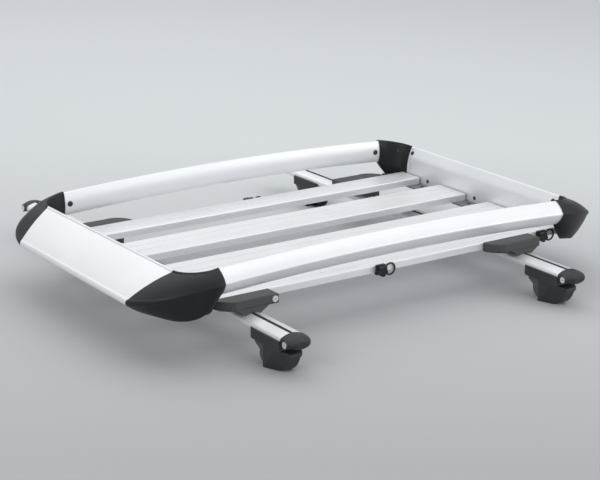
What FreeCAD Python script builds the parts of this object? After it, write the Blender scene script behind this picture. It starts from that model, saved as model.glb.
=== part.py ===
import FreeCAD, Part
import math
import os
import Sketcher

# Roof basket on two crossbars, in millimetres. +X runs from the deflector end to the rear end,
# +Y to the right-hand side of the vehicle, +Z up. The origin lies on the ground in the middle.

doc = FreeCAD.newDocument("roof_basket")

DRIVING_SIZES = {
    # basket as a whole
    "panel_spread": 1126,       # between the top edges of the two end panels
    "panel_reach": 103,         # from a panel's top edge out to its nose
    "basket_offset": -95,       # middle of the basket from the middle of the bars
    "floor_height": 126,        # slat tops above the ground
    # slats
    "slat_height": 18,
    "slat_wall": 2.2,
    "slat_edge": 3,             # rounding of a slat's upper edges
    "inner_slat_width": 113,
    "inner_slat_middle": 101.5,
    "outer_slat_width": 77,
    "outer_slat_middle": 282.5,
    "slat_end_gap": 6,
    "groove_width": 3.6,
    "groove_depth": 0.9,
    # end panels
    "front_rise": 79,           # front panel's top edge above the slats
    "rear_rise": 74,
    "nose_height": 10,          # nose above the slats
    "nose_radius": 11,
    "panel_drop": 22,           # lowest edge of a panel below the slats
    "panel_lean": 9,            # foot of the inner face inboard of the top edge
    "panel_bow": 4,             # bow of the sloping face
    "panel_wall": 3,
    "panel_half_top": 302,      # half the length along the top edge
    "panel_taper": 43,          # each end's slant, from the top edge to the nose
    # cross rails under the slat ends
    "cross_width": 46,
    "cross_thickness": 4,
    "cross_end_gap": 22,
    "cross_gap": 1,
    # side rails
    "rail_inset": 70,           # rail mouth behind the panel's top edge
    "rail_beside": 64,          # rail's top edge outboard of the panel's end
    "rail_end_top": 87,         # rail's top edge above the slats, at the mouth
    "rail_arch": 14,
    "rail_height": 61,
    "rail_reach": 29,           # ridge outboard of the top edge
    "rail_ridge_drop": 28,
    "rail_bulge": 8,            # inner face inboard of the top edge
    "rail_edge": 4,             # half the width of the rounded top and bottom edges
    "rail_wall": 2.5,
    # corner mouldings
    "sleeve_wall": 2.6,
    "sleeve_gap": 0.5,
    "sleeve_depth": 5,
    "corner_dip": 3,            # hollow of the top line between rail and panel
    "corner_drop": 9,           # swell of the skirt below the panel
    # crossbars
    "bar_drop": 34,             # bar tops below the slat tops
    "bar_width": 62,
    "bar_height": 27,
    "bar_nose": 9,              # radius of the bar's two edges
    "bar_wall": 2.4,
    "bar_length": 1306,         # over the end caps
    "front_bar_inset": 163,     # front bar behind the front panel's top edge
    "bar_spread": 802,
    "slot_width": 10,
    "slot_depth": 8,
    "strip_gap": 0.3,
    "strip_sink": 0.8,
    # end caps
    "cap_length": 42,
    "cap_lip": 1.2,
    "lock_radius": 7.5,
    "lock_length": 7,
    "lock_gap": 0.3,
    "lock_proud": 1.5,          # lock barrel's face out of its bore
    "lock_boss": 2.5,           # wall of the boss round a cap's lock
    # mounting clamps
    "clamp_width": 42,
    "clamp_height": 22,
    "clamp_lead": 80,           # bar to the rounded end
    "clamp_trail": 68,          # bar to the square end
    "clamp_round": 36,
    "clamp_edge": 3,            # rounding of a clamp's top edges
    "rear_left_clamp_shift": 22,    # this clamp sits forward of its bar
    "belly_lead": 22,           # slopes of a clamp's underside, either side of the saddle
    "belly_trail": 22,
    "saddle_width": 40,
    "saddle_tongue": 60,        # reach of the saddle under the slat
    "seat_gap": 0.3,
    # feet
    "left_foot_inset": 43,      # middle of the foot from the bar's end
    "right_foot_inset": 149,
    "cradle_width": 70,
    "cradle_inner": 84,         # ends of the cradle from the middle of the foot
    "cradle_outer": 41,
    "cradle_skirt": 11,         # cradle below the bar
    "cover_inner": 22,
    "cover_flat": 12,           # outer end of the sole
    "cover_shoulder": 14,       # where the cover's back starts to slope down to the nose
    "cover_nose": 60,
    "cover_nose_height": 44,
    "cover_nose_round": 6,
    "cover_width": 66,
    "facet_low": 18,            # where each flank's facet starts, at the sole and at the cradle
    "facet_high": -22,
    "cradle_round_start": 58,
    "tower_width": 50,
    "tower_reach": 66,
    "tower_waist": 46,
    "strap_width": 30,
    "strap_thickness": 3.5,
    "strap_reach": 60,
    "strap_lift": 0.5,
    # tie-down eyes
    "front_left_eye": -526,     # each eye's knob from the basket's middle
    "middle_left_eye": -18,
    "rear_left_eye": 486,
    "front_right_eye": -514,
    "middle_right_eye": 35,
    "rear_right_eye": 497,
    "eye_block_length": 24,
    "eye_block_depth": 18,
    "eye_block_height": 28,
    "eye_hang": 9,              # block below the slat
    "eye_wire": 2.2,            # radius of the wire
    "eye_ring": 14,             # radius of the ring to the middle of its wire
    "eye_ring_reach": 16.8,     # middle of the ring from the block
    "eye_leg_high": 9,          # the ring's two legs above and below its middle
    "eye_leg_low": 5,
    "eye_tail": 2,              # clamping strip past the block
    "knob_radius": 13,
    "knob_depth": 11,
    "knob_scallop": 4.5,
}


class Size:
    # A length with its number and the sheet expression that gives it.
    def __init__(self, number, text):
        self.number = float(number)
        self.text = text

    def __add__(self, other):
        other = as_size(other)
        return Size(self.number + other.number, "(%s + %s)" % (self.text, other.text))

    def __sub__(self, other):
        other = as_size(other)
        return Size(self.number - other.number, "(%s - %s)" % (self.text, other.text))

    def __mul__(self, other):
        other = as_size(other)
        return Size(self.number * other.number, "(%s * %s)" % (self.text, other.text))

    def __truediv__(self, other):
        other = as_size(other)
        return Size(self.number / other.number, "(%s / %s)" % (self.text, other.text))

    def __neg__(self):
        return self * -1

    def __radd__(self, other):
        return as_size(other) + self

    def __rsub__(self, other):
        return as_size(other) - self

    def __rmul__(self, other):
        return as_size(other) * self


def as_size(value):
    if isinstance(value, Size):
        return value
    return Size(value, "(%r)" % float(value))


def root(size):
    return Size(math.sqrt(size.number), "sqrt(%s)" % size.text)


def arc_tangent(size):
    return Size(math.degrees(math.atan(size.number)), "atan(%s)" % size.text)


def arc_sine(size):
    return Size(math.degrees(math.asin(size.number)), "asin(%s)" % size.text)


def degrees(number):
    return Size(number, "(%r deg)" % float(number))


class Sizes:
    pass


def make_sheet(values):
    sheet = doc.addObject("Spreadsheet::Sheet", "Sizes")
    named = Sizes()
    for row, (alias, value) in enumerate(values.items(), start=1):
        sheet.set("A%d" % row, alias)
        sheet.set("B%d" % row, repr(value))
        sheet.setAlias("B%d" % row, alias)
        setattr(named, alias, Size(value, "Sizes." + alias))
    doc.recompute()
    return named


d = make_sheet(DRIVING_SIZES)
sub_parts = []


def new_body(label, place, turn=0):
    body = doc.addObject("PartDesign::Body", label)
    body.Label = label
    body.Placement = FreeCAD.Placement(
        FreeCAD.Vector(0, 0, 0), FreeCAD.Rotation(FreeCAD.Vector(0, 0, 1), turn))
    for axis, value in zip("xyz", place):
        body.setExpression("Placement.Base." + axis, as_size(value).text)
    sub_parts.append(body)
    return body


def gather(label, ending):
    # Like pieces that lie apart share one sub-part.
    pieces = [part for part in sub_parts if part.Label.endswith(ending)]
    shared = doc.addObject("Part::Compound", label)
    shared.Label = label
    shared.Links = pieces
    for piece in pieces:
        sub_parts.remove(piece)
    sub_parts.append(shared)


def new_sketch(body, plane, offset=None, turn=None):
    # The plane is one of the body's own; offset moves along its normal, turn is about its upright.
    sketch = body.newObject("Sketcher::SketchObject", body.Name + "_sketch")
    support = [item for item in body.Origin.OriginFeatures if item.Role == plane][0]
    sketch.AttachmentSupport = [(support, "")]
    sketch.MapMode = "FlatFace"
    if turn is not None:
        sketch.AttachmentOffset = FreeCAD.Placement(
            FreeCAD.Vector(0, 0, 0), FreeCAD.Rotation(FreeCAD.Vector(0, 1, 0), turn.number))
        sketch.setExpression("AttachmentOffset.Rotation.Angle", turn.text)
    if offset is not None:
        sketch.setExpression("AttachmentOffset.Base.z", as_size(offset).text)
    return sketch


def vector(point):
    return FreeCAD.Vector(as_size(point[0]).number, as_size(point[1]).number, 0)


def draw(sketch, corners):
    # Each corner is (x, y) for a straight edge to the next, or (x, y, (x, y)) for an arc through a point.
    count = len(corners)
    first_geometry = sketch.GeometryCount
    shapes = []
    ends = []
    through = []
    for index, corner in enumerate(corners):
        start = vector(corner)
        stop = vector(corners[(index + 1) % count])
        if len(corner) == 2:
            shapes.append(Part.LineSegment(start, stop))
            ends.append((1, 2))
            continue
        middle = vector(corner[2])
        if (middle - start).cross(stop - start).z > 0:
            shapes.append(Part.Arc(start, middle, stop))
            ends.append((1, 2))
        else:
            shapes.append(Part.Arc(stop, middle, start))
            ends.append((2, 1))
        through.append((index, corner[2]))
    sketch.addGeometry(shapes, False)
    marks = [Part.Point(vector(point)) for index, point in through]
    if marks:
        sketch.addGeometry(marks, True)
    constraints = []
    bindings = []
    for index, corner in enumerate(corners):
        here = first_geometry + index
        previous = first_geometry + (index - 1) % count
        constraints.append(Sketcher.Constraint(
            "Coincident", previous, ends[(index - 1) % count][1], here, ends[index][0]))
        bindings.append(None)
        for kind, value in zip(("DistanceX", "DistanceY"), corner):
            value = as_size(value)
            constraints.append(Sketcher.Constraint(kind, -1, 1, here, ends[index][0], value.number))
            bindings.append(value.text)
    for order, (index, point) in enumerate(through):
        mark = first_geometry + count + order
        for kind, value in zip(("DistanceX", "DistanceY"), point):
            value = as_size(value)
            constraints.append(Sketcher.Constraint(kind, -1, 1, mark, 1, value.number))
            bindings.append(value.text)
        constraints.append(Sketcher.Constraint("PointOnObject", mark, 1, first_geometry + index))
        bindings.append(None)
    first = sketch.ConstraintCount
    sketch.addConstraint(constraints)
    for order, text in enumerate(bindings):
        if text:
            sketch.setExpression("Constraints[%d]" % (first + order), text)


def draw_circle(sketch, middle, radius):
    here = sketch.GeometryCount
    first = sketch.ConstraintCount
    x, y, radius = (as_size(value) for value in (middle[0], middle[1], radius))
    sketch.addGeometry(Part.Circle(vector((x, y)), FreeCAD.Vector(0, 0, 1), radius.number), False)
    sketch.addConstraint([
        Sketcher.Constraint("DistanceX", -1, 1, here, 3, x.number),
        Sketcher.Constraint("DistanceY", -1, 1, here, 3, y.number),
        Sketcher.Constraint("Radius", here, radius.number)])
    for order, value in enumerate((x, y, radius)):
        sketch.setExpression("Constraints[%d]" % (first + order), value.text)


def rectangle(left, bottom, right, top):
    return [(left, bottom), (right, bottom), (right, top), (left, top)]


def pad(body, sketch, length, symmetric=True, reverse=False):
    feature = body.newObject("PartDesign::Pad", body.Name + "_pad")
    feature.Profile = sketch
    feature.SideType = "Symmetric" if symmetric else "One side"
    feature.Reversed = reverse
    feature.setExpression("Length", as_size(length).text)
    return feature


def pocket(body, sketch, length=None, symmetric=False, reverse=False):
    feature = body.newObject("PartDesign::Pocket", body.Name + "_pocket")
    feature.Profile = sketch
    feature.SideType = "Symmetric" if symmetric else "One side"
    feature.Reversed = reverse
    if length is None:
        feature.Type = "ThroughAll"
    else:
        feature.setExpression("Length", as_size(length).text)
    return feature


def loft(body, sketches, kind="PartDesign::AdditiveLoft", ruled=False):
    feature = body.newObject(kind, body.Name + "_loft")
    feature.Profile = sketches[0]
    feature.Sections = sketches[1:]
    feature.Ruled = ruled
    return feature


def round_edges(body, feature, radius, wanted):
    # Rounds those edges of a feature whose middle passes the test.
    doc.recompute()
    names = []
    for order, edge in enumerate(feature.Shape.Edges, start=1):
        if wanted(edge.valueAt((edge.FirstParameter + edge.LastParameter) / 2)):
            names.append("Edge%d" % order)
    rounding = body.newObject("PartDesign::Fillet", body.Name + "_round")
    rounding.Base = (feature, names)
    rounding.setExpression("Radius", radius.text)
    return rounding


# Places shared by several sub-parts
front_edge = (d.panel_reach * 2 + d.panel_spread) / -2 + d.panel_reach
rear_edge = front_edge + d.panel_spread
basket_middle = (front_edge + rear_edge) / 2
slat_underside = d.floor_height - d.slat_height
bar_middle_height = d.floor_height - d.bar_drop - d.bar_height / 2
rail_middle = d.panel_half_top + d.rail_beside
bar_places = {"front": front_edge + d.front_bar_inset}
bar_places["rear"] = bar_places["front"] + d.bar_spread
touch = 0.01
sides = {"left": -1, "right": 1}
end_signs = {"front": -1, "rear": 1}


# Slats: flat hollow extrusions with fine grooves along their tops
def slat_outline(width):
    half = width / 2
    edge = d.slat_edge
    soft = edge * (1 - math.sqrt(0.5))
    corners = [(-half, -d.slat_height), (half, -d.slat_height),
               (half, -edge, (half - soft, -soft)), (half - edge, 0)]
    for middle in (half / 3, -half / 3):
        corners.append((middle + d.groove_width / 2, 0))
        corners.append((middle + d.groove_width / 2, -d.groove_depth))
        corners.append((middle - d.groove_width / 2, -d.groove_depth))
        corners.append((middle - d.groove_width / 2, 0))
    corners.append((-half + edge, 0, (-half + soft, -soft)))
    corners.append((-half, -edge))
    return corners


def make_slat(label, width, middle):
    body = new_body(label, (basket_middle, d.basket_offset + middle, d.floor_height))
    sketch = new_sketch(body, "YZ_Plane")
    draw(sketch, slat_outline(width))
    room = width / 2 - d.slat_wall
    ceiling = -(d.slat_wall + d.groove_depth)
    draw(sketch, rectangle(-room, d.slat_wall - d.slat_height, -d.slat_wall / 2, ceiling))
    draw(sketch, rectangle(d.slat_wall / 2, d.slat_wall - d.slat_height, room, ceiling))
    pad(body, sketch, d.panel_spread - 2 * (d.panel_lean + d.slat_end_gap))


for side, sign in sides.items():
    make_slat("inner_%s_slat" % side, d.inner_slat_width, d.inner_slat_middle * sign)
    make_slat("outer_%s_slat" % side, d.outer_slat_width, d.outer_slat_middle * sign)


# End panels: hollow wedge extrusions with a rounded nose. The outline starts at the foot of the
# inner face and runs up, over the top edge, down the slope, round the nose and back underneath.
def panel_outline(rise, stretch, shift, inset):
    edge = d.rail_edge
    foot = (d.panel_lean - inset, inset - d.panel_drop)
    inner_top = (0 - inset, rise - edge - inset * 2)
    outer_top = (-2 * edge, rise - edge - inset * 2)
    nose_back = d.nose_radius * 0.6 - d.panel_reach + inset
    nose_half = d.nose_radius * 0.8 - inset * 0.5
    nose_top = (nose_back, d.nose_height + nose_half)
    nose_under = (nose_back, d.nose_height - nose_half)
    belly = (d.panel_reach * -0.45, inset - d.panel_drop)
    slope_middle = ((outer_top[0] + nose_top[0]) / 2 - d.panel_bow * 0.5,
                    (outer_top[1] + nose_top[1]) / 2 + d.panel_bow * 0.86)
    points = [
        foot + ((d.panel_lean * 1.05 - inset, rise * 0.4),),
        inner_top + ((-edge - inset / 2, rise - inset * 2.5),),
        outer_top + (slope_middle,),
        nose_top + ((inset - d.panel_reach, d.nose_height),),
        nose_under + (((nose_under[0] + belly[0]) / 2, (nose_under[1] + belly[1]) / 2 - d.panel_bow),),
        belly,
    ]
    return [place_outward(point, stretch, shift) for point in points]


def place_outward(point, stretch, shift):
    # The outline is drawn outward along -x; a section on a slanting plane is stretched along +x.
    moved = ((point[0] * stretch + shift), point[1])
    if len(point) == 3:
        moved += ((point[2][0] * stretch + shift, point[2][1]),)
    return moved


slant = d.panel_taper / d.panel_reach
slant_stretch = root(1 + slant * slant)
slant_angle = arc_tangent(slant)


def make_panel(label, edge_place, rise, turn):
    body = new_body(label, (edge_place, d.basket_offset, d.floor_height), turn)
    sketch = new_sketch(body, "XZ_Plane")
    draw(sketch, panel_outline(rise, as_size(1), as_size(0), as_size(0)))
    draw(sketch, panel_outline(rise, as_size(1), as_size(0), d.panel_wall))
    inner = d.panel_lean * 2
    reach = d.panel_reach * 1.2
    beyond = d.panel_half_top * 1.2
    pad(body, sketch, (d.panel_half_top + slant * inner) * 2)
    cut = new_sketch(body, "XY_Plane")
    for sign in (-1, 1):
        draw(cut, [(inner, (d.panel_half_top + slant * inner) * sign),
                   (-reach, (d.panel_half_top - slant * reach) * sign),
                   (-reach, beyond * sign),
                   (inner, beyond * sign)])
    pocket(body, cut, 4 * (rise + d.panel_drop), symmetric=True)


make_panel("front_panel", front_edge, d.front_rise, 0)
make_panel("rear_panel", rear_edge, d.rear_rise, 180)


# Cross rails: flat bars that carry the slat ends, against the foot of each panel
def make_cross_rail(label, edge_place, turn):
    body = new_body(label, (edge_place, d.basket_offset, slat_underside), turn)
    sketch = new_sketch(body, "XZ_Plane")
    inner = d.panel_lean + d.cross_gap
    draw(sketch, rectangle(inner, -d.cross_thickness, inner + d.cross_width, 0))
    pad(body, sketch, 2 * (d.panel_half_top - d.cross_end_gap))


make_cross_rail("front_cross_rail", front_edge, 0)
make_cross_rail("rear_cross_rail", rear_edge, 180)


# Side rails: arched extrusions with a ridge along the outside and a rounded inner face.
# Points are outward from the top edge and up from it; grow moves each one away from the middle.
def rail_outline(grow):
    edge = d.rail_edge
    slope = math.sqrt(0.5)
    out = grow * slope
    ridge_round = edge * 0.8
    ridge = -d.rail_ridge_drop
    foot = -d.rail_height + edge * 0.5
    return [
        (-edge - out, foot - out, (-d.rail_bulge - grow, (ridge + foot) / 2)),
        (-edge - out, -edge * 0.5 + out, (0, 0 + grow)),
        (edge + out, -edge * 0.5 + out, (d.rail_reach * 0.66 + out, ridge * 0.47 + out)),
        (d.rail_reach - ridge_round * 0.3 + grow, ridge + ridge_round,
         (d.rail_reach + grow, ridge)),
        (d.rail_reach - ridge_round * 0.3 + grow, ridge - ridge_round,
         (d.rail_reach * 0.66 + out, (ridge + foot) / 2 - edge * 0.5 - out)),
        (edge + out, foot - out),
    ]


rail_length = d.panel_spread - 2 * d.rail_inset
rail_radius = (rail_length * rail_length / 4 + d.rail_arch * d.rail_arch) / (2 * d.rail_arch)


def lifted(points, lift, sign):
    # Moves an outline up and turns it to the given side.
    moved = []
    for point in points:
        new_point = (point[0] * sign, point[1] + lift)
        if len(point) == 3:
            new_point += ((point[2][0] * sign, point[2][1] + lift),)
        moved.append(new_point)
    return moved


def make_rail(label, sign):
    top = d.floor_height + d.rail_end_top + d.rail_arch
    body = new_body(label, (basket_middle, d.basket_offset + rail_middle * sign, top - rail_radius))
    sketch = new_sketch(body, "YZ_Plane")
    draw(sketch, lifted(rail_outline(as_size(0)), rail_radius, sign))
    draw(sketch, lifted(rail_outline(-d.rail_wall), rail_radius, sign))
    turn = body.newObject("PartDesign::Revolution", label + "_arch")
    turn.Profile = sketch
    turn.ReferenceAxis = (sketch, ["H_Axis"])
    turn.Midplane = True
    half = rail_length / 2 + d.sleeve_depth - d.rail_arch * 0.15
    turn.setExpression("Angle", (2 * arc_sine(half / rail_radius)).text)


for side, sign in sides.items():
    make_rail(side + "_rail", sign)


# Corner mouldings: a fan of sections about an upright line, from the rail's sleeve to the panel's end
corner_radius_line = d.panel_half_top + slant * d.rail_inset
corner_steps = 3


def blend(first, second, share):
    return first * (1 - share) + second * share


def corner_section(rise, step):
    share = step / corner_steps
    outward = share ** 2
    downward = 1 - (1 - share) ** 2
    sleeve = [place_outward(point, as_size(1), rail_middle - corner_radius_line)
              for point in lifted(rail_outline(d.sleeve_wall), d.rail_end_top, 1)]
    wedge = panel_outline(rise, -slant_stretch, d.rail_inset * slant_stretch, as_size(0))
    dip = d.corner_dip * math.sin(math.pi * share)
    swell = d.corner_drop * math.sin(math.pi * share)
    section = []
    for index, (near, far) in enumerate(zip(sleeve, wedge)):
        across = downward if index in (0, 5) else outward
        drop = swell if index in (0, 5) else (dip if index in (1, 2) else 0)
        point = (blend(near[0], far[0], outward), blend(near[1], far[1], across) - drop)
        if len(near) == 3:
            middle_across = (across + (downward if index == 4 else outward)) / 2
            middle_drop = dip if index == 1 else (swell / 2 if index in (0, 4) else 0)
            point += ((blend(near[2][0], far[2][0], outward),
                       blend(near[2][1], far[2][1], middle_across) - middle_drop),)
        section.append(point)
    return section


def make_corner(label, edge_place, rise, end, sign):
    body = new_body(label, (edge_place - d.rail_inset * end,
                            d.basket_offset + corner_radius_line * sign, d.floor_height))
    sketches = []
    for step in range(corner_steps + 1):
        fan = (degrees(90) + slant_angle) * (step / corner_steps)
        sketch = new_sketch(body, "XZ_Plane", turn=(degrees(90) - fan * end) * sign)
        draw(sketch, corner_section(rise, step))
        sketches.append(sketch)
    loft(body, sketches)
    mouth = new_sketch(body, "XZ_Plane", turn=degrees(90) * sign)
    shift = rail_middle - corner_radius_line
    draw(mouth, [place_outward(point, as_size(1), shift)
                 for point in lifted(rail_outline(d.sleeve_gap), d.rail_end_top, 1)])
    pocket(body, mouth, d.sleeve_depth, reverse=sign * end > 0)


for side, sign in sides.items():
    make_corner("front_%s_corner" % side, front_edge, d.front_rise, -1, sign)
    make_corner("rear_%s_corner" % side, rear_edge, d.rear_rise, 1, sign)


# Crossbars: flat oval extrusions with a slot along the top, filled by a rubber strip.
# The two shares place the ends of the rounded front and rear edges.
nose_back_share = 0.35
nose_rise_share = 0.75


def bar_outline(grow, width_share=1.0, height_share=1.0, sink=0.0):
    half = (d.bar_width / 2 + grow) * width_share
    rise = (d.bar_height / 2 + grow) * height_share
    nose = (d.bar_nose + grow) * height_share
    shoulder = half - nose * nose_back_share
    edge = nose * nose_rise_share
    lift = rise * -sink
    return [
        (-shoulder, lift - edge, (0, lift - rise)),
        (shoulder, lift - edge, (half, lift)),
        (shoulder, lift + edge, (0, lift + rise)),
        (-shoulder, lift + edge, (-half, lift)),
    ]


tube_length = d.bar_length - 2 * d.cap_length
chamber_share = 0.7


def make_bar(end):
    body = new_body(end + "_crossbar", (bar_places[end], 0, bar_middle_height))
    sketch = new_sketch(body, "XZ_Plane")
    draw(sketch, bar_outline(as_size(0)))
    pad(body, sketch, tube_length)
    slot = new_sketch(body, "XZ_Plane")
    top = d.bar_height / 2
    draw(slot, rectangle(-d.slot_width / 2, top - d.slot_depth, d.slot_width / 2, top + d.slot_depth))
    pocket(body, slot, tube_length * 2, symmetric=True)
    hollow = new_sketch(body, "XZ_Plane")
    ceiling = top - d.slot_depth - d.bar_wall
    floor = d.bar_wall * 1.3 - top
    chamber = (d.bar_width / 2 - d.bar_nose * nose_back_share - d.bar_wall * 2) * chamber_share
    draw(hollow, rectangle(-chamber, floor, -d.bar_wall / 2, ceiling))
    draw(hollow, rectangle(d.bar_wall / 2, floor, chamber, ceiling))
    pocket(body, hollow, tube_length * 2, symmetric=True)
    strip = new_body(end + "_slot_strip", (bar_places[end], 0, bar_middle_height))
    sketch = new_sketch(strip, "XZ_Plane")
    half = d.slot_width / 2 - d.strip_gap
    draw(sketch, rectangle(-half, top - d.slot_depth, half, top - d.strip_sink))
    pad(strip, sketch, tube_length)


for end in end_signs:
    make_bar(end)


# End caps: the bar's outline drawn out to a rounded, drooping tip, with a lock barrel in its end
cap_lock_along = 0.45
cap_stations = ((0.0, 1.0, 1.0), (0.45, 0.97, 0.96), (0.8, 0.8, 0.84), (1.0, 0.46, 0.5))


def make_cap(end, side, sign):
    place = (bar_places[end], tube_length / 2 * sign, bar_middle_height)
    body = new_body("%s_%s_end_cap" % (end, side), place)
    sketches = []
    for along, width_share, height_share in cap_stations:
        sketch = new_sketch(body, "XZ_Plane", offset=d.cap_length * along * -sign)
        draw(sketch, bar_outline(d.cap_lip, width_share, height_share, 0.22 * along ** 2))
        sketches.append(sketch)
    loft(body, sketches)
    lock_middle = (d.cap_length * cap_lock_along * sign, d.bar_height * -0.1)
    face = d.bar_width / 2 + d.cap_lip + d.lock_gap
    boss = new_sketch(body, "YZ_Plane", offset=-face)
    draw_circle(boss, lock_middle, d.lock_radius + d.lock_boss)
    pad(body, boss, d.bar_nose * 2, symmetric=False)
    bore = new_sketch(body, "YZ_Plane", offset=-face)
    draw_circle(bore, lock_middle, d.lock_radius + d.lock_gap)
    pocket(body, bore, d.lock_length - d.lock_proud, reverse=True)
    lock_place = (place[0] - face - d.lock_proud, place[1], place[2])
    lock = new_body("%s_%s_cap_lock" % (end, side), lock_place)
    barrel = new_sketch(lock, "YZ_Plane")
    draw_circle(barrel, lock_middle, d.lock_radius)
    pad(lock, barrel, d.lock_length, symmetric=False)


for end in end_signs:
    for side, sign in sides.items():
        make_cap(end, side, sign)


# Mounting clamps: long covers beside the outer slats, on saddles that sit on the bars
def make_clamp(end, side, sign):
    slat_side = d.outer_slat_middle + d.outer_slat_width / 2
    place = (bar_places[end], d.basket_offset + (slat_side + d.seat_gap) * sign, d.floor_height)
    body = new_body("%s_%s_clamp" % (end, side), place, 0 if sign == -1 else 180)
    cover = new_sketch(body, "XY_Plane")
    bend = d.clamp_round * (1 - math.sqrt(0.5))
    shift = d.rear_left_clamp_shift if (end, side) == ("rear", "left") else as_size(0)
    lead = d.clamp_lead + shift
    trail = d.clamp_trail - shift
    draw(cover, [
        (-lead, 0, (bend - lead, bend - d.clamp_round)),
        (d.clamp_round - lead, -d.clamp_width),
        (trail, -d.clamp_width),
        (trail, 0),
    ])
    block = pad(body, cover, d.clamp_height, symmetric=False, reverse=True)
    round_edges(body, block, d.clamp_edge, lambda middle: middle.z > -touch and middle.y < -touch)
    saddle = new_sketch(body, "XZ_Plane", offset=d.clamp_width)
    half = d.saddle_width / 2
    seat = d.seat_gap - d.bar_drop
    shoulder = d.bar_width / 2 - d.bar_nose * nose_back_share
    crown = d.bar_height / 2 - d.bar_nose * nose_rise_share
    sag = crown * half * half / (shoulder * shoulder)
    draw(saddle, [
        (-half, seat - sag, (0, seat)),
        (half, seat - sag),
        (half + d.belly_trail, -d.clamp_height),
        (-half - d.belly_lead, -d.clamp_height),
    ])
    pad(body, saddle, d.clamp_width, symmetric=False, reverse=True)
    tongue = new_sketch(body, "XZ_Plane")
    draw(tongue, [
        (-half, seat - sag, (0, seat)),
        (half, seat - sag),
        (half, -d.slat_height),
        (-half, -d.slat_height),
    ])
    pad(body, tongue, d.saddle_tongue, symmetric=False, reverse=True)
    if end == "rear":
        return
    lock_middle = (d.clamp_trail - d.lock_radius - d.lock_boss, -d.clamp_height / 2)
    bore = new_sketch(body, "XZ_Plane", offset=d.clamp_width)
    draw_circle(bore, lock_middle, d.lock_radius + d.lock_gap)
    pocket(body, bore, d.lock_length - d.lock_proud)
    lock_place = (place[0], place[1] + (d.clamp_width + d.lock_proud) * sign, place[2])
    lock = new_body("%s_%s_clamp_lock" % (end, side), lock_place, 0 if sign == -1 else 180)
    barrel = new_sketch(lock, "XZ_Plane")
    draw_circle(barrel, lock_middle, d.lock_radius)
    pad(lock, barrel, d.lock_length, symmetric=False, reverse=True)


for end in end_signs:
    for side, sign in sides.items():
        make_clamp(end, side, sign)


# Feet: a cradle under the bar, an outer cover with a rounded nose, an inner clamp tower and a strap
cradle_floor = bar_middle_height - d.bar_height / 2 - d.cradle_skirt
flank_taper = 0.4
sole_curve_along = 0.62
sole_curve_rise = 0.2


def flank_cut(start, hand):
    # The piece cut from one flank of a cover, seen from above: it narrows the cover towards its nose.
    half = d.cover_width / 2
    end = d.cover_nose * -1.05
    outside = half * 1.5 * hand
    tip = (half - flank_taper * (start - end)) * hand
    return [(half * hand, start), (tip, end), (outside, end), (outside, start)]


def plan_round(half, start, tip):
    # The piece cut from one corner of a nose, seen from above: an arc from its side to near its tip.
    clear = tip * 1.05
    return [
        (half, start, (half * 0.85, start * 0.3 + tip * 0.7)),
        (half * 0.4, clear),
        (half * 1.4, clear),
        (half * 1.4, start),
    ]


def make_foot(end, side, sign, middle):
    name = "%s_%s_foot" % (end, side)
    turn = 0 if sign == -1 else 180
    place = (bar_places[end], middle * sign, 0)

    cover = new_body(name + "_cover", place, turn)
    profile = new_sketch(cover, "YZ_Plane")
    back = d.cover_nose_round - d.cover_nose
    draw(profile, [
        (d.cover_inner, 0),
        (d.cover_inner, cradle_floor),
        (-d.cover_shoulder, cradle_floor),
        (back, d.cover_nose_height + d.cover_nose_round, (-d.cover_nose, d.cover_nose_height)),
        (back, d.cover_nose_height - d.cover_nose_round,
         (d.cover_nose * -sole_curve_along, d.cover_nose_height * sole_curve_rise)),
        (-d.cover_flat, 0),
    ])
    pad(cover, profile, d.cover_width)
    for hand in (-1, 1):
        levels = []
        for start, level in ((d.facet_low, 0), (d.facet_high, cradle_floor)):
            sketch = new_sketch(cover, "XY_Plane", offset=level)
            draw(sketch, flank_cut(start, hand))
            levels.append(sketch)
        loft(cover, levels, "PartDesign::SubtractiveLoft", ruled=True)
    cradle = new_sketch(cover, "XZ_Plane", offset=-d.cradle_inner)
    half = d.cradle_width / 2
    draw(cradle, rectangle(-half, cradle_floor, half, bar_middle_height))
    pad(cover, cradle, d.cradle_inner + d.cradle_outer, symmetric=False)
    rounded = new_sketch(cover, "XY_Plane")
    for hand in (-1, 1):
        draw(rounded, plan_round(half * hand, d.cradle_round_start, d.cradle_inner))
    pocket(cover, rounded, d.floor_height * 2, symmetric=True)
    seat = new_sketch(cover, "XZ_Plane")
    draw(seat, lifted(bar_outline(d.seat_gap), bar_middle_height, 1))
    pocket(cover, seat, d.bar_length, symmetric=True)

    tower = new_body(name + "_clamp", place, turn)
    profile = new_sketch(tower, "YZ_Plane")
    start = d.cover_inner + d.seat_gap
    top = cradle_floor - d.seat_gap
    draw(profile, [
        (start, d.strap_thickness * 2),
        (d.tower_waist * 0.8, d.strap_thickness * 2.5, (d.tower_waist, top * 0.35)),
        (d.tower_waist, top * 0.6),
        (d.tower_reach, top * 0.82),
        (d.tower_reach, top),
        (start, top),
    ])
    pad(tower, profile, d.tower_width)

    strap = new_body(name + "_strap", place, turn)
    profile = new_sketch(strap, "YZ_Plane")
    thick = d.strap_thickness
    inside = d.strap_reach - thick
    shelf_slope = top * 0.22 / (d.tower_reach - d.tower_waist)
    shelf = top * 0.6 - d.seat_gap
    draw(profile, [
        (start, d.strap_lift),
        (d.tower_waist * 0.8, d.strap_lift, (d.strap_reach - thick, top * 0.22)),
        (d.strap_reach, top * 0.5),
        (d.strap_reach, shelf + shelf_slope * (d.strap_reach - d.tower_waist)),
        (inside, shelf + shelf_slope * (inside - d.tower_waist)),
        (inside, top * 0.5, (inside - thick * 0.8, top * 0.22 + thick * 0.5)),
        (d.tower_waist * 0.8, d.strap_lift + thick),
        (start, d.strap_lift + thick),
    ])
    pad(strap, profile, d.strap_width)


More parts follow.
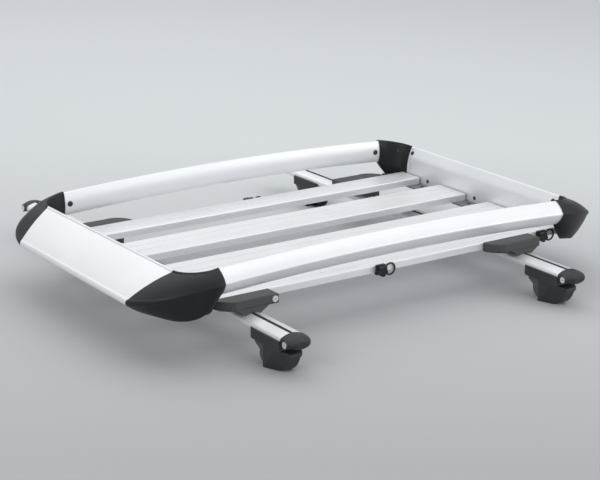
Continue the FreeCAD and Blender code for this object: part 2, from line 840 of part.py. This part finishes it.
for end in end_signs:
    make_foot(end, "left", -1, tube_length / 2 - d.left_foot_inset)
    make_foot(end, "right", 1, tube_length / 2 - d.right_foot_inset)


# Tie-down eyes: a star knob and its clamping plate on the outer slat's side, with a wire ring
def make_eye(side, sign, name, along):
    right = sign == 1
    slat_side = d.outer_slat_middle + d.outer_slat_width / 2
    low = slat_underside - d.eye_hang
    place = (basket_middle + along, d.basket_offset + slat_side * sign, low)
    plate_depth = d.eye_block_depth - d.knob_depth

    block = new_body("%s_%s_tie_knob" % (name, side), place)
    plate = new_sketch(block, "XZ_Plane")
    half = d.eye_block_length / 2
    lip = d.eye_hang + d.seat_gap
    draw(plate, [
        (-half - d.eye_tail, lip * 0.5),
        (half, 0),
        (half, d.eye_block_height),
        (-half, d.eye_block_height),
        (-half, lip),
        (-half - d.eye_tail, lip),
    ])
    pad(block, plate, plate_depth, symmetric=False, reverse=right)
    knob = new_sketch(block, "XZ_Plane", offset=plate_depth * -sign)
    knob_middle = (0, d.eye_block_height / 2)
    draw_circle(knob, knob_middle, d.knob_radius)
    pad(block, knob, d.knob_depth, symmetric=False, reverse=right)
    scallops = new_sketch(block, "XZ_Plane", offset=d.eye_block_depth * -sign)
    for step in range(5):
        angle = math.radians(90 + 72 * step)
        draw_circle(scallops, (knob_middle[0] + (d.knob_radius + d.knob_scallop * 0.4) * math.cos(angle),
                               knob_middle[1] + (d.knob_radius + d.knob_scallop * 0.4) * math.sin(angle)),
                    d.knob_scallop)
    pocket(block, scallops, d.knob_depth, reverse=right)

    ring_middle = half + d.eye_ring_reach
    ring_place = (place[0] + ring_middle, place[1] + plate_depth / 2 * sign,
                  low + d.eye_block_height * 0.45)
    ring = new_body("%s_%s_tie_ring" % (name, side), ring_place)
    wire = new_sketch(ring, "XY_Plane")
    draw_circle(wire, (d.eye_ring, 0), d.eye_wire)
    turned = ring.newObject("PartDesign::Revolution", ring.Name + "_ring")
    turned.Profile = wire
    turned.ReferenceAxis = (wire, ["V_Axis"])
    turned.Angle = 360
    for lift in (d.eye_leg_high, -d.eye_leg_low):
        leg = new_sketch(ring, "YZ_Plane", offset=-d.eye_ring_reach)
        draw_circle(leg, (0, lift), d.eye_wire)
        pad(ring, leg, d.eye_ring_reach - root(d.eye_ring * d.eye_ring - lift * lift), symmetric=False)


make_eye("left", -1, "front", d.front_left_eye)
make_eye("left", -1, "middle", d.middle_left_eye)
make_eye("left", -1, "rear", d.rear_left_eye)
make_eye("right", 1, "front", d.front_right_eye)
make_eye("right", 1, "middle", d.middle_right_eye)
make_eye("right", 1, "rear", d.rear_right_eye)


gather("slot_strips", "_slot_strip")
gather("cap_locks", "_cap_lock")
gather("clamp_locks", "_clamp_lock")
for side in sides:
    gather("%s_tie_knobs" % side, "_%s_tie_knob" % side)


def check_and_write():
    doc.recompute()
    faults = []
    for item in doc.Objects:
        if "Invalid" in item.State or "Error" in item.State:
            faults.append("%s: %s" % (item.Label, ", ".join(item.State)))
    for part in sub_parts:
        if part.Shape.isNull() or not part.Shape.isValid() or not part.Shape.Solids:
            faults.append("%s: no valid solid" % part.Label)
    if faults:
        raise RuntimeError("; ".join(faults))
    os.makedirs("parts", exist_ok=True)
    for part in sub_parts:
        part.Shape.exportStep("parts/%s.step" % part.Label)
    print("wrote %d sub-parts" % len(sub_parts))


check_and_write()
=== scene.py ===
import math
import bmesh
import bpy
import numpy as np
from mathutils import Matrix, Vector


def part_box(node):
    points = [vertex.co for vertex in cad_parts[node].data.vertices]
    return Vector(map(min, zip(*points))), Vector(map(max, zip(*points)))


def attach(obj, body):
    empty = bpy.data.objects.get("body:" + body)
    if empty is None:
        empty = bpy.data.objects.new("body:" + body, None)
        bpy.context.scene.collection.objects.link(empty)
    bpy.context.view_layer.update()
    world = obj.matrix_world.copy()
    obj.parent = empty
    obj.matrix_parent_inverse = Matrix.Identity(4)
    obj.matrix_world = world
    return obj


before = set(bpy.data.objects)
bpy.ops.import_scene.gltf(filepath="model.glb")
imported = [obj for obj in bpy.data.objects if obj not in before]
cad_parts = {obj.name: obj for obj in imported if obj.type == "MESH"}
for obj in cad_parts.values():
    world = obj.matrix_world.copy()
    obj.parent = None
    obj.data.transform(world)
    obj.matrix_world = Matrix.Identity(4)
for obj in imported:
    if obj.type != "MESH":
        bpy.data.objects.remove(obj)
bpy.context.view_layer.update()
scene = bpy.context.scene
bpy.context.view_layer.update()
mm = 0.001
sides = {"left": -1, "right": 1}
ends = {"front": -1, "rear": 1}
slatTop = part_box("inner_left_slat")[1][2]
basketMiddle = (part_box("left_rail")[0][1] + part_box("right_rail")[1][1]) / 2
print("frame loaded:", len(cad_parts), "nodes")


# An sRGB hex colour as linear red, green, blue and alpha.
def linear(code):
    channels = [int(code[i:i + 2], 16) / 255 for i in (1, 3, 5)]
    return [c / 12.92 if c <= 0.04045 else ((c + 0.055) / 1.055) ** 2.4 for c in channels] + [1.0]


# A node with its links. A setting is a ramp's two colours, a socket's value or else a property.
def addNode(tree, kind, settings=None, links=None):
    node = tree.nodes.new(kind)
    for name, value in (settings or {}).items():
        if name == "colours":
            node.color_ramp.elements[0].color = linear(value[0])
            node.color_ramp.elements[1].color = linear(value[1])
        elif isinstance(name, int) or name in node.inputs:
            node.inputs[name].default_value = value
        else:
            setattr(node, name, value)
    for name, socket in (links or {}).items():
        tree.links.new(socket, node.inputs[name])
    return node


def newMaterial(name):
    material = bpy.data.materials.new(name)
    material.use_nodes = True
    tree = material.node_tree
    tree.nodes.clear()
    output = tree.nodes.new("ShaderNodeOutputMaterial")
    shader = tree.nodes.new("ShaderNodeBsdfPrincipled")
    tree.links.new(shader.outputs["BSDF"], output.inputs["Surface"])
    place = tree.nodes.new("ShaderNodeTexCoord").outputs["Object"]
    return material, tree, shader, place


noiseRange = {"From Min": 0.3, "From Max": 0.7}  # a noise mostly lies there

aluminium = {
    "metallic": 0.5,
    "roughness": (0.38, 0.5),
    "lineGap": 1.1 * mm,  # die lines, drawn coarser than the real 0.1 mm so that they show
    "lineLength": 85 * mm,
    "lineDepth": 0.2 * mm,
    "lineStrength": 0.06,
    "patch": 110 * mm,  # slow drift of the anodising
}


# Drawn aluminium, satin anodised: a milky sheen, with faint die lines along the length of the section.
def anodisedAluminium(name, along, dark, light):
    material, tree, shader, place = newMaterial(name)
    stretch = [1 / aluminium["lineGap"]] * 3
    stretch["xyz".index(along)] = 1 / aluminium["lineLength"]
    lines = addNode(tree, "ShaderNodeMapping", {"Scale": stretch}, {"Vector": place}).outputs["Vector"]
    fine = {"Scale": 1.0, "Detail": 3.0}
    grain = addNode(tree, "ShaderNodeTexNoise", fine, {"Vector": lines}).outputs["Fac"]
    slow = {"Scale": 1 / aluminium["patch"], "Detail": 4.0}
    drift = addNode(tree, "ShaderNodeTexNoise", slow, {"Vector": place}).outputs["Fac"]
    colour = addNode(tree, "ShaderNodeValToRGB", {"colours": (dark, light)}, {"Fac": drift})
    tree.links.new(colour.outputs["Color"], shader.inputs["Base Color"])
    low, high = aluminium["roughness"]
    limits = noiseRange | {"To Min": low, "To Max": high}
    sheen = addNode(tree, "ShaderNodeMapRange", limits, {"Value": grain})
    tree.links.new(sheen.outputs["Result"], shader.inputs["Roughness"])
    relief = {"Strength": aluminium["lineStrength"], "Distance": aluminium["lineDepth"]}
    bump = addNode(tree, "ShaderNodeBump", relief, {"Height": grain})
    tree.links.new(bump.outputs["Normal"], shader.inputs["Normal"])
    shader.inputs["Metallic"].default_value = aluminium["metallic"]
    return material


moulding = {
    "grain": 1.1 * mm,
    "grainDepth": 0.2 * mm,
    "patch": 45 * mm,  # drift of the sheen
    "sheen": (-0.06, 0.08),  # what the drift adds to the roughness
    "edge": 1.4 * mm,  # width of a rounded edge and of its painted highlight
    "edgeLimits": (0.99, 0.8),  # cosine between the normals where the painted highlight begins and where it is full
    # paler grey painted on the edges as a highlight
    "highlightColour": "#808183",
    "highlightShare": (0.15, 0.85),  # share of the painted highlight left where it is least, and the most of the highlight colour
}


# Injection-moulded plastic or rubber: fine leather grain, with the sheen drifting where hands and dust have
# been. Its edges are a little round, and painted paler as a highlight: the highlight lies where a rounded
# normal leaves the flat one.
# Coated wire and blackened screw steel take the same finish, with hardly any grain.
def moulded(name, dark, light, roughness, gloss, grainStrength=0.2):
    material, tree, shader, place = newMaterial(name)
    cells = addNode(tree, "ShaderNodeTexVoronoi", {"Scale": 1 / moulding["grain"]}, {"Vector": place})
    slow = {"Scale": 1 / moulding["patch"], "Detail": 5.0}
    drift = addNode(tree, "ShaderNodeTexNoise", slow, {"Vector": place}).outputs["Fac"]
    body = addNode(tree, "ShaderNodeValToRGB", {"colours": (dark, light)}, {"Fac": drift}).outputs["Color"]
    rounded = addNode(tree, "ShaderNodeBevel", {"samples": 6, "Radius": moulding["edge"]}).outputs["Normal"]
    flat = tree.nodes.new("ShaderNodeNewGeometry").outputs["Normal"]
    # Painted highlight: the edges turn paler, unevenly, where the rounded normal leaves the flat one.
    agree = addNode(tree, "ShaderNodeVectorMath", {"operation": "DOT_PRODUCT"}, {0: rounded, 1: flat})
    begin, full = moulding["edgeLimits"]
    least, most = moulding["highlightShare"]
    limits = {"From Min": begin, "From Max": full, "To Min": 0.0, "To Max": most}
    edge = addNode(tree, "ShaderNodeMapRange", limits, {"Value": agree.outputs["Value"]}).outputs["Result"]
    limits = noiseRange | {"To Min": least, "To Max": 1.0}
    uneven = addNode(tree, "ShaderNodeMapRange", limits, {"Value": drift}).outputs["Result"]
    edgeHighlight = addNode(tree, "ShaderNodeMath", {"operation": "MULTIPLY"}, {0: edge, 1: uneven}).outputs["Value"]
    mixing = {"data_type": "RGBA", 7: linear(moulding["highlightColour"])}  # 0 is the share, 6 and 7 the colours
    mix = addNode(tree, "ShaderNodeMix", mixing, {0: edgeHighlight, 6: body})
    tree.links.new(mix.outputs[2], shader.inputs["Base Color"])
    less, more = moulding["sheen"]
    limits = noiseRange | {"To Min": roughness + less, "To Max": roughness + more}
    sheen = addNode(tree, "ShaderNodeMapRange", limits, {"Value": drift})
    tree.links.new(sheen.outputs["Result"], shader.inputs["Roughness"])
    relief = {"Strength": grainStrength, "Distance": moulding["grainDepth"]}
    bump = addNode(tree, "ShaderNodeBump", relief, {"Height": cells.outputs["Distance"], "Normal": rounded})
    tree.links.new(bump.outputs["Normal"], shader.inputs["Normal"])
    shader.inputs["Specular IOR Level"].default_value = gloss
    return material


lockNickel = {
    "metallic": 0.6,
    "roughness": (0.2, 0.38),
    "scuff": 2.4 * mm,
}


# Nickel-plated brass, satin: small scuffs of about 2 mm from keys.
def satinNickel(name, dark, light):
    material, tree, shader, place = newMaterial(name)
    fine = {"Scale": 1 / lockNickel["scuff"], "Detail": 3.0}
    scuffs = addNode(tree, "ShaderNodeTexNoise", fine, {"Vector": place}).outputs["Fac"]
    colour = addNode(tree, "ShaderNodeValToRGB", {"colours": (dark, light)}, {"Fac": scuffs})
    tree.links.new(colour.outputs["Color"], shader.inputs["Base Color"])
    low, high = lockNickel["roughness"]
    limits = noiseRange | {"To Min": low, "To Max": high}
    sheen = addNode(tree, "ShaderNodeMapRange", limits, {"Value": scuffs})
    tree.links.new(sheen.outputs["Result"], shader.inputs["Roughness"])
    shader.inputs["Metallic"].default_value = lockNickel["metallic"]
    return material


lengthwise = anodisedAluminium("satin_anodised_aluminium_lengthwise", "x", "#e6e8ea", "#f1f2f4")
crosswise = anodisedAluminium("satin_anodised_aluminium_crosswise", "y", "#e6e8ea", "#f1f2f4")
# The flat bars under the slat ends are painted a darker grey: painted shade between and under the slats.
shadedFlatBar = anodisedAluminium("flat_bar_aluminium_painted_shade", "y", "#76787b", "#86888b")
cornerPlastic = moulded("black_corner_plastic", "#17181a", "#212225", roughness=0.42, gloss=0.3)
footPlastic = moulded("black_foot_plastic", "#28292b", "#353638", roughness=0.46, gloss=0.45)
towerPlastic = moulded("charcoal_foot_plastic", "#4a4b4d", "#595b5d", roughness=0.58, gloss=0.4)
clampPlastic = moulded("charcoal_clamp_plastic", "#424244", "#505052", roughness=0.52, gloss=0.45)
capPlastic = moulded("black_cap_plastic", "#232426", "#2f3032", roughness=0.48, gloss=0.4)
rubber = moulded("black_rubber", "#191a1b", "#252526", roughness=0.72, gloss=0.35)
coatedWire = moulded("black_coated_wire", "#131314", "#1e1e1f", 0.38, gloss=0.5, grainStrength=0.05)
blackScrew = moulded("black_oxide_screw_steel", "#151517", "#232325", 0.34, gloss=0.6, grainStrength=0.06)
nickel = satinNickel("satin_nickel_lock", "#dcdcda", "#f2f2f0")
print("materials made")

finishes = (  # the first ending that fits a node's name gives its finish
    (("_foot_clamp",), towerPlastic),
    (("_foot_cover",), footPlastic),
    (("_panel", "_crossbar"), crosswise),
    (("_cross_rail",), shadedFlatBar),
    (("_slat", "_rail"), lengthwise),
    (("_strips", "_strap"), rubber),
    (("_tie_ring",), coatedWire),
    (("_locks",), nickel),
    (("_corner",), cornerPlastic),
    (("_clamp",), clampPlastic),
    (("_end_cap",), capPlastic),
    (("_tie_knobs",), cornerPlastic),
)
for node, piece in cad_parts.items():
    finish = [material for endings, material in finishes if node.endswith(endings)][0]
    piece.data.materials.clear()
    piece.data.materials.append(finish)
print("frame dressed")

sharpAngle = math.radians(40)  # a smooth piece keeps edges that turn by more


# A tube of rings: point row * columns + column, each row closed on itself and both end rings filled.
def addTube(name, points, rows, columns, material, smooth=False):
    first = np.arange((rows - 1) * columns).reshape(rows - 1, columns)
    second = np.roll(first, -1, axis=1)
    walls = np.stack([first, second, second + columns, first + columns], axis=-1).reshape(-1, 4)
    bottom = np.arange(columns)[::-1]
    top = np.arange(columns) + (rows - 1) * columns
    mesh = bpy.data.meshes.new(name)
    mesh.from_pydata(points.tolist(), [], walls.tolist() + [bottom.tolist(), top.tolist()])
    shell = bmesh.new()
    shell.from_mesh(mesh)
    bmesh.ops.recalc_face_normals(shell, faces=shell.faces)
    shell.to_mesh(mesh)
    shell.free()
    mesh.polygons.foreach_set("use_smooth", [smooth] * len(mesh.polygons))
    if smooth:
        mesh.set_sharp_from_angle(angle=sharpAngle)
    mesh.materials.append(material)
    piece = bpy.data.objects.new(name, mesh)
    scene.collection.objects.link(piece)
    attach(piece, "root")
    return piece


ringSteps = 36
turns = np.arange(ringSteps) * 2 * math.pi / ringSteps
circle = np.ones(ringSteps)
hexagon = math.cos(math.pi / 6) / np.cos(turns % (math.pi / 3) - math.pi / 6)  # corners at radius 1


# Rings of points (r cos t, r sin t, h), from a radius for every turn t and a height, with h along the axis.
def stackRings(name, rings, place, axis, material):
    radii = np.array([ring for ring, height in rings])
    heights = np.array([height for ring, height in rings])[:, None] * circle
    points = np.stack([radii * np.cos(turns), radii * np.sin(turns), heights], axis=-1).reshape(-1, 3)
    turn = np.array(Vector(axis).to_track_quat("Z", "Y").to_matrix())
    addTube(name, points @ turn.T + np.array(place), len(rings), ringSteps, material)


surfaces = dict(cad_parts)  # what a small piece can be set on


# Where a line from the start first meets a node, with that face's outward direction.
def findFace(node, start, direction):
    hit, place, normal, index = surfaces[node].ray_cast(Vector(start), Vector(direction))
    if not hit:
        raise RuntimeError("no face of %s on that line" % node)
    return place, normal


panelFold = {
    "foot": 5 * mm,  # above the slats
    "head": 2 * mm,  # below the panel's top edge
    "crease": 0.64,  # share of the way up
    "sharpness": 9.0,
    "depth": 10 * mm,
    "half": 299 * mm,  # half its length
    "fade": 5 * mm,
    "sunk": 0.8 * mm,
    "along": 81,  # points along the panel
    "rise": 30,  # points up its face
}


# Folded inner face of a panel. Up the face v goes from 0 to 1, and the fold stands out evenly more up to
# the crease and evenly less from there to the top edge: the soft minimum of both slopes, which rounds the
# crease. Along the panel u goes from -1 to 1, and the fold fades out smoothly near both ends.
def addFold(end, way):
    node = end + "_panel"
    heights = (slatTop + panelFold["foot"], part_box(node)[1][2] - panelFold["head"])
    lower, upper = [np.array(findFace(node, (0, basketMiddle, height), (way, 0, 0))[0]) for height in heights]
    along, rise = panelFold["along"], panelFold["rise"]
    u = np.linspace(-1, 1, along)[:, None]
    v = np.concatenate([np.linspace(0, 1, rise), np.linspace(1, 0, rise)])
    nearEnd = np.clip((1 - np.abs(u)) * panelFold["half"] / panelFold["fade"], 0, 1)
    fade = nearEnd ** 2 * (3 - 2 * nearEnd)
    sharp, crease = panelFold["sharpness"], panelFold["crease"]
    tent = -np.log(np.exp(-sharp * v / crease) + np.exp(-sharp * (1 - v) / (1 - crease))) / sharp
    out = panelFold["depth"] * tent * fade
    out[:, rise:] = -panelFold["sunk"]
    x = lower[0] + (upper[0] - lower[0]) * v - way * out
    y = basketMiddle + u * panelFold["half"] + 0 * v
    z = lower[2] + (upper[2] - lower[2]) * v + 0 * u
    points = np.stack([x, y, z], axis=-1).reshape(-1, 3)
    name = node + "_fold"
    surfaces[name] = addTube(name, points, along, 2 * rise, crosswise, smooth=True)


for end, way in ends.items():
    addFold(end, way)
bpy.context.view_layer.update()
print("panels folded")

screwHead = {
    "sunk": 0.4,  # shares of the head's height
    "rim": 0.3,
    "socketFloor": 0.2,
    "socketTip": 0.15,
    "tipSize": 0.1,  # share of the socket's radius
    "bend": 1.1,  # radians up the dome
    "rings": 6,
}


# Button head: a dome whose radius falls as the cosine of the bend and whose height grows as its sine, with a
# hexagon socket.
def addScrew(name, sizes, node, start, direction):
    place, normal = findFace(node, start, direction)
    radius, height, rim = sizes["radius"], sizes["height"], screwHead["rim"]
    bends = np.linspace(0, screwHead["bend"], screwHead["rings"])
    foot = [(circle * radius, -height * screwHead["sunk"])]
    dome = [(circle * radius * math.cos(bend), height * (rim + (1 - rim) * math.sin(bend))) for bend in bends]
    socket = hexagon * sizes["socket"]
    recess = [
        (socket, dome[-1][1]),
        (socket, height * screwHead["socketFloor"]),
        (socket * screwHead["tipSize"], height * screwHead["socketTip"]),
    ]
    stackRings(name, foot + dome + recess, place, normal, blackScrew)


# A screw's own sizes, and its place from the basket's middle, the slats' top or the middle of a slat gap.
railScrew = {
    "radius": 7.0 * mm, "height": 3.4 * mm, "socket": 3.4 * mm,
    "along": 478 * mm, "up": 57.5 * mm,
}
panelScrew = {
    "radius": 5.6 * mm, "height": 2.8 * mm, "socket": 2.8 * mm,
    "across": 288 * mm, "up": 59 * mm,
}
cornerScrew = {
    "radius": 4.4 * mm, "height": 2.2 * mm, "socket": 2.0 * mm,
    "along": 440 * mm, "across": 260 * mm, "up": 58 * mm,
    "aim": (0.8, 0.6),  # from that place out to the corner's inner face
}
flangeScrew = {
    "radius": 5.0 * mm, "height": 2.6 * mm, "socket": 2.4 * mm,
    "along": 533 * mm, "aside": 12 * mm,
}
webScrew = {
    "radius": 5.0 * mm, "height": 2.6 * mm, "socket": 2.4 * mm,
    "up": -5 * mm, "aside": 12 * mm,
}
slatGaps = {"left": -201 * mm, "middle": 0, "right": 201 * mm}

for end, way in ends.items():
    for side, sign in sides.items():
        label = "%s_%s" % (end, side)
        start = (railScrew["along"] * way, basketMiddle, slatTop + railScrew["up"])
        addScrew(label + "_rail_screw", railScrew, side + "_rail", start, (0, sign, 0))
        start = (0, basketMiddle + panelScrew["across"] * sign, slatTop + panelScrew["up"])
        addScrew(label + "_panel_screw", panelScrew, end + "_panel_fold", start, (way, 0, 0))
        across = basketMiddle + cornerScrew["across"] * sign
        start = (cornerScrew["along"] * way, across, slatTop + cornerScrew["up"])
        aim = (cornerScrew["aim"][0] * way, cornerScrew["aim"][1] * sign, 0)
        addScrew(label + "_corner_screw", cornerScrew, label + "_corner", start, aim)
    for gap, across in slatGaps.items():
        start = (flangeScrew["along"] * way, basketMiddle + across + flangeScrew["aside"], slatTop)
        addScrew("%s_%s_flange_screw" % (end, gap), flangeScrew, end + "_cross_rail", start, (0, 0, -1))
        start = (0, basketMiddle + across + webScrew["aside"], slatTop + webScrew["up"])
        addScrew("%s_%s_web_screw" % (end, gap), webScrew, end + "_panel", start, (way, 0, 0))
print("screws set")

keyway = {
    "plug": 4.8 * mm,  # radius of the plug in a lock's face
    "proud": 0.2 * mm,
    "plugRings": ((1, -1), (1, 0.6), (0.92, 1)),  # shares of the radius and of proud, from the inside out
    "slot": 3.0 * mm,  # half the length of the key slot
    "slotWide": 0.9 * mm,
    "slotRings": ((1, 0.5), (1, 1.5), (0.8, 1.7)),
    "capAlong": 18.9 * mm,  # lock from the end of the tube
    "capDrop": 2.7 * mm,
    "capReach": 100 * mm,  # a line to a cap's lock starts this far ahead of its bar
    "clampAlong": 58 * mm,  # lock from the bar, behind it on the left and ahead of it on the right
    "clampDrop": 11 * mm,
    "clampReach": 600 * mm,  # a line to a clamp's lock starts this far from the middle
}


# A lock's plug: a low disc, with a slot on it drawn as a stretched ring of half-length a and half-width b,
# whose radius is one over the root of (cos t / a) squared plus (sin t / b) squared.
def addKeyway(name, node, start, direction):
    place, normal = findFace(node, start, direction)
    disc = [(circle * keyway["plug"] * share, keyway["proud"] * rise) for share, rise in keyway["plugRings"]]
    stackRings(name + "_plug", disc, place, normal, nickel)
    oval = 1 / np.sqrt((np.cos(turns) / keyway["slot"]) ** 2 + (np.sin(turns) / keyway["slotWide"]) ** 2)
    slot = [(oval * share, keyway["proud"] * rise) for share, rise in keyway["slotRings"]]
    # The slot is a black oval on the plug: painted shade standing in for the keyhole's recess.
    stackRings(name + "_slot", slot, place, normal, blackScrew)


for end in ends:
    low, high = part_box(end + "_crossbar")
    lockHeight = (low[2] + high[2]) / 2 - keyway["capDrop"]
    for side, sign in sides.items():
        tubeEnd = low[1] if sign < 0 else high[1]
        start = (low[0] - keyway["capReach"], tubeEnd + sign * keyway["capAlong"], lockHeight)
        addKeyway("%s_%s_cap" % (end, side), "cap_locks", start, (1, 0, 0))
low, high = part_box("front_crossbar")
for side, sign in sides.items():
    along = (low[0] + high[0]) / 2 - sign * keyway["clampAlong"]
    start = (along, sign * keyway["clampReach"], slatTop - keyway["clampDrop"])
    addKeyway("front_%s_clamp" % side, "clamp_locks", start, (0, -sign, 0))
print("locks finished")

seam = {
    "width": 1.5 * mm,
    "proud": 0.12 * mm,
    "sunk": 0.4 * mm,
    "reach": 120 * mm,  # a line starts this far from the middle
    "capLift": 0.5 * mm,
    "capRoot": 6 * mm,
    "capSweep": (2, 128),  # degrees round a cap, clear of its lock
    "capSteps": 40,
    "collarAlong": 29 * mm,  # ring round a cap, outside its lock
    "collarSweep": (-80, 260),
    "collarSteps": 70,
    "clampDrop": 19.6 * mm,
    "clampInset": 21 * mm,
    "clampSweep": (8, 172),
    "clampSteps": 60,
}


# A strip through the points where the lines of a plane, drawn in towards a middle, meet the node: at each
# point four corners, half the width to each side of the plane, a little inside and a little outside the face.
# The plane holds the x axis and the second axis given, and a sweep is measured from x towards that axis.
def addSeam(name, node, middle, second, sweep, count):
    angles = np.radians(np.linspace(*sweep, count))
    ways = np.outer(np.cos(angles), (1, 0, 0)) + np.outer(np.sin(angles), second)
    hits = [findFace(node, Vector(middle) + Vector(way) * seam["reach"], -Vector(way)) for way in ways]
    places = np.array([place for place, normal in hits])
    normals = np.array([normal for place, normal in hits])
    aside = np.cross((1, 0, 0), second) * seam["width"] / 2
    sunk, proud = -seam["sunk"], seam["proud"]
    corners = ((-1, sunk), (-1, proud), (1, proud), (1, sunk))
    edges = [places + aside * step + normals * depth for step, depth in corners]
    points = np.stack(edges, axis=1).reshape(-1, 3)
    addTube(name, points, count, len(corners), rubber)


for end in ends:
    low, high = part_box(end + "_crossbar")
    barMiddle = (low[0] + high[0]) / 2
    capHeight = (low[2] + high[2]) / 2 + seam["capLift"]
    for side, sign in sides.items():
        label = "%s_%s" % (end, side)
        cap = label + "_end_cap"
        tubeEnd = low[1] if sign < 0 else high[1]
        middle = (barMiddle, tubeEnd + sign * seam["capRoot"], capHeight)
        sweep = [angle * sign for angle in seam["capSweep"]]
        addSeam(label + "_cap_seam", cap, middle, (0, 1, 0), sweep, seam["capSteps"])
        middle = (barMiddle, tubeEnd + sign * seam["collarAlong"], capHeight)
        sweep = seam["collarSweep"]
        addSeam(label + "_cap_collar", cap, middle, (0, 0, 1), sweep, seam["collarSteps"])
        clampLow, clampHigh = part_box(label + "_clamp")
        clampMiddle = (clampLow[0] + clampHigh[0]) / 2
        outer = clampLow[1] if sign < 0 else clampHigh[1]
        middle = (clampMiddle, outer - sign * seam["clampInset"], clampHigh[2] - seam["clampDrop"])
        sweep = [angle * sign for angle in seam["clampSweep"]]
        addSeam(label + "_clamp_seam", label + "_clamp", middle, (0, 1, 0), sweep, seam["clampSteps"])
print("seams set")

studio = {
    "floorNear": "#acacaf",  # in front of the basket; the floor's tones are painted light and shade
    "floorMiddle": "#d2d6d8",
    "floorMiddleAt": 0.42,  # share of the way from near to far
    "floorFar": "#e4e7ea",
    "floorWay": (0.57, 0.82, 0.0),  # from near to far
    "floorRun": (-1.2, 4.6),  # metres along that way, from the nearest tone to the farthest
    "floorSize": 24.0,
    "floorRoughness": (0.85, 0.95),
    "floorCloud": 0.6,  # unevenness of the paper's sheen, in waves a metre
    "worldColour": "#dfe1e4",
    "worldStrength": 0.7,
}
lamps = {
    "overhead_softbox": {"place": (0.6, 0.3, 3.4), "aim": (0.0, 0.0, 0.1), "size": (6.4, 5.0), "power": 82},
    "side_softbox": {"place": (3.4, -2.6, 2.2), "aim": (0.2, -0.1, 0.15), "size": (3.4, 2.6), "power": 18},
    "low_softbox": {"place": (2.6, -3.8, 0.9), "aim": (0.2, 0.0, 0.15), "size": (4.4, 1.7), "power": 40},
    "front_softbox": {"place": (-3.8, -1.6, 2.3), "aim": (0.0, 0.0, 0.15), "size": (2.6, 1.8), "power": 54},
    "back_softbox": {"place": (-0.5, 4.4, 3.4), "aim": (-0.4, 0.0, 0.15), "size": (4.4, 2.4), "power": 21},
}
view = {
    "place": (-2.416, -3.547, 1.405),
    "yaw": 34.72,  # degrees from +Y towards +X
    "pitch": 17.21,  # degrees below level
    "roll": 0.46,
    "lens": 105.5,
    "sensor": 36,
    "reach": 60,  # metres
}


# Matt studio paper, whose colour paints the fall of the light: darker on the near side of the floor, paler on
# the far one.
def addFloor():
    half = studio["floorSize"] / 2
    corners = [(-half, -half, 0), (half, -half, 0), (half, half, 0), (-half, half, 0)]
    mesh = bpy.data.meshes.new("floor")
    mesh.from_pydata(corners, [], [(0, 1, 2, 3)])
    material, tree, shader, place = newMaterial("studio_paper")
    along = {"operation": "DOT_PRODUCT", 1: studio["floorWay"]}
    run = addNode(tree, "ShaderNodeVectorMath", along, {0: place}).outputs["Value"]
    near, far = studio["floorRun"]
    share = addNode(tree, "ShaderNodeMapRange", {"From Min": near, "From Max": far}, {"Value": run})
    tones = {"colours": (studio["floorNear"], studio["floorFar"])}
    # painted light and shade: the paper's colour runs from the near tone to the far one
    paper = addNode(tree, "ShaderNodeValToRGB", tones, {"Fac": share.outputs["Result"]})
    middle = paper.color_ramp.elements.new(studio["floorMiddleAt"])
    middle.color = linear(studio["floorMiddle"])
    tree.links.new(paper.outputs["Color"], shader.inputs["Base Color"])
    slow = {"Scale": studio["floorCloud"], "Detail": 2.0}
    cloud = addNode(tree, "ShaderNodeTexNoise", slow, {"Vector": place}).outputs["Fac"]
    low, high = studio["floorRoughness"]
    limits = noiseRange | {"To Min": low, "To Max": high}
    sheen = addNode(tree, "ShaderNodeMapRange", limits, {"Value": cloud})
    tree.links.new(sheen.outputs["Result"], shader.inputs["Roughness"])
    mesh.materials.append(material)
    floor = bpy.data.objects.new("floor", mesh)
    scene.collection.objects.link(floor)


def addLamp(name, sizes):
    data = bpy.data.lights.new(name, "AREA")
    data.shape = "RECTANGLE"
    data.size, data.size_y = sizes["size"]
    data.energy = sizes["power"]
    lamp = bpy.data.objects.new(name, data)
    lamp.location = sizes["place"]
    lamp.rotation_euler = (Vector(sizes["aim"]) - lamp.location).to_track_quat("-Z", "Y").to_euler()
    scene.collection.objects.link(lamp)


def addCamera():
    data = bpy.data.cameras.new("photo_view")
    data.lens = view["lens"]
    data.sensor_width = view["sensor"]
    data.clip_end = view["reach"]
    camera = bpy.data.objects.new("photo_view", data)
    yaw = Matrix.Rotation(math.radians(-view["yaw"]), 4, "Z")
    pitch = Matrix.Rotation(math.radians(90 - view["pitch"]), 4, "X")
    roll = Matrix.Rotation(math.radians(view["roll"]), 4, "Z")
    camera.matrix_world = Matrix.Translation(view["place"]) @ yaw @ pitch @ roll
    scene.collection.objects.link(camera)
    scene.camera = camera


addFloor()
for name, sizes in lamps.items():
    addLamp(name, sizes)
addCamera()
world = bpy.data.worlds.new("studio")
world.use_nodes = True
background = world.node_tree.nodes["Background"]
background.inputs["Color"].default_value = linear(studio["worldColour"])
background.inputs["Strength"].default_value = studio["worldStrength"]
scene.world = world
scene.view_settings.view_transform = "Standard"
print("studio set")
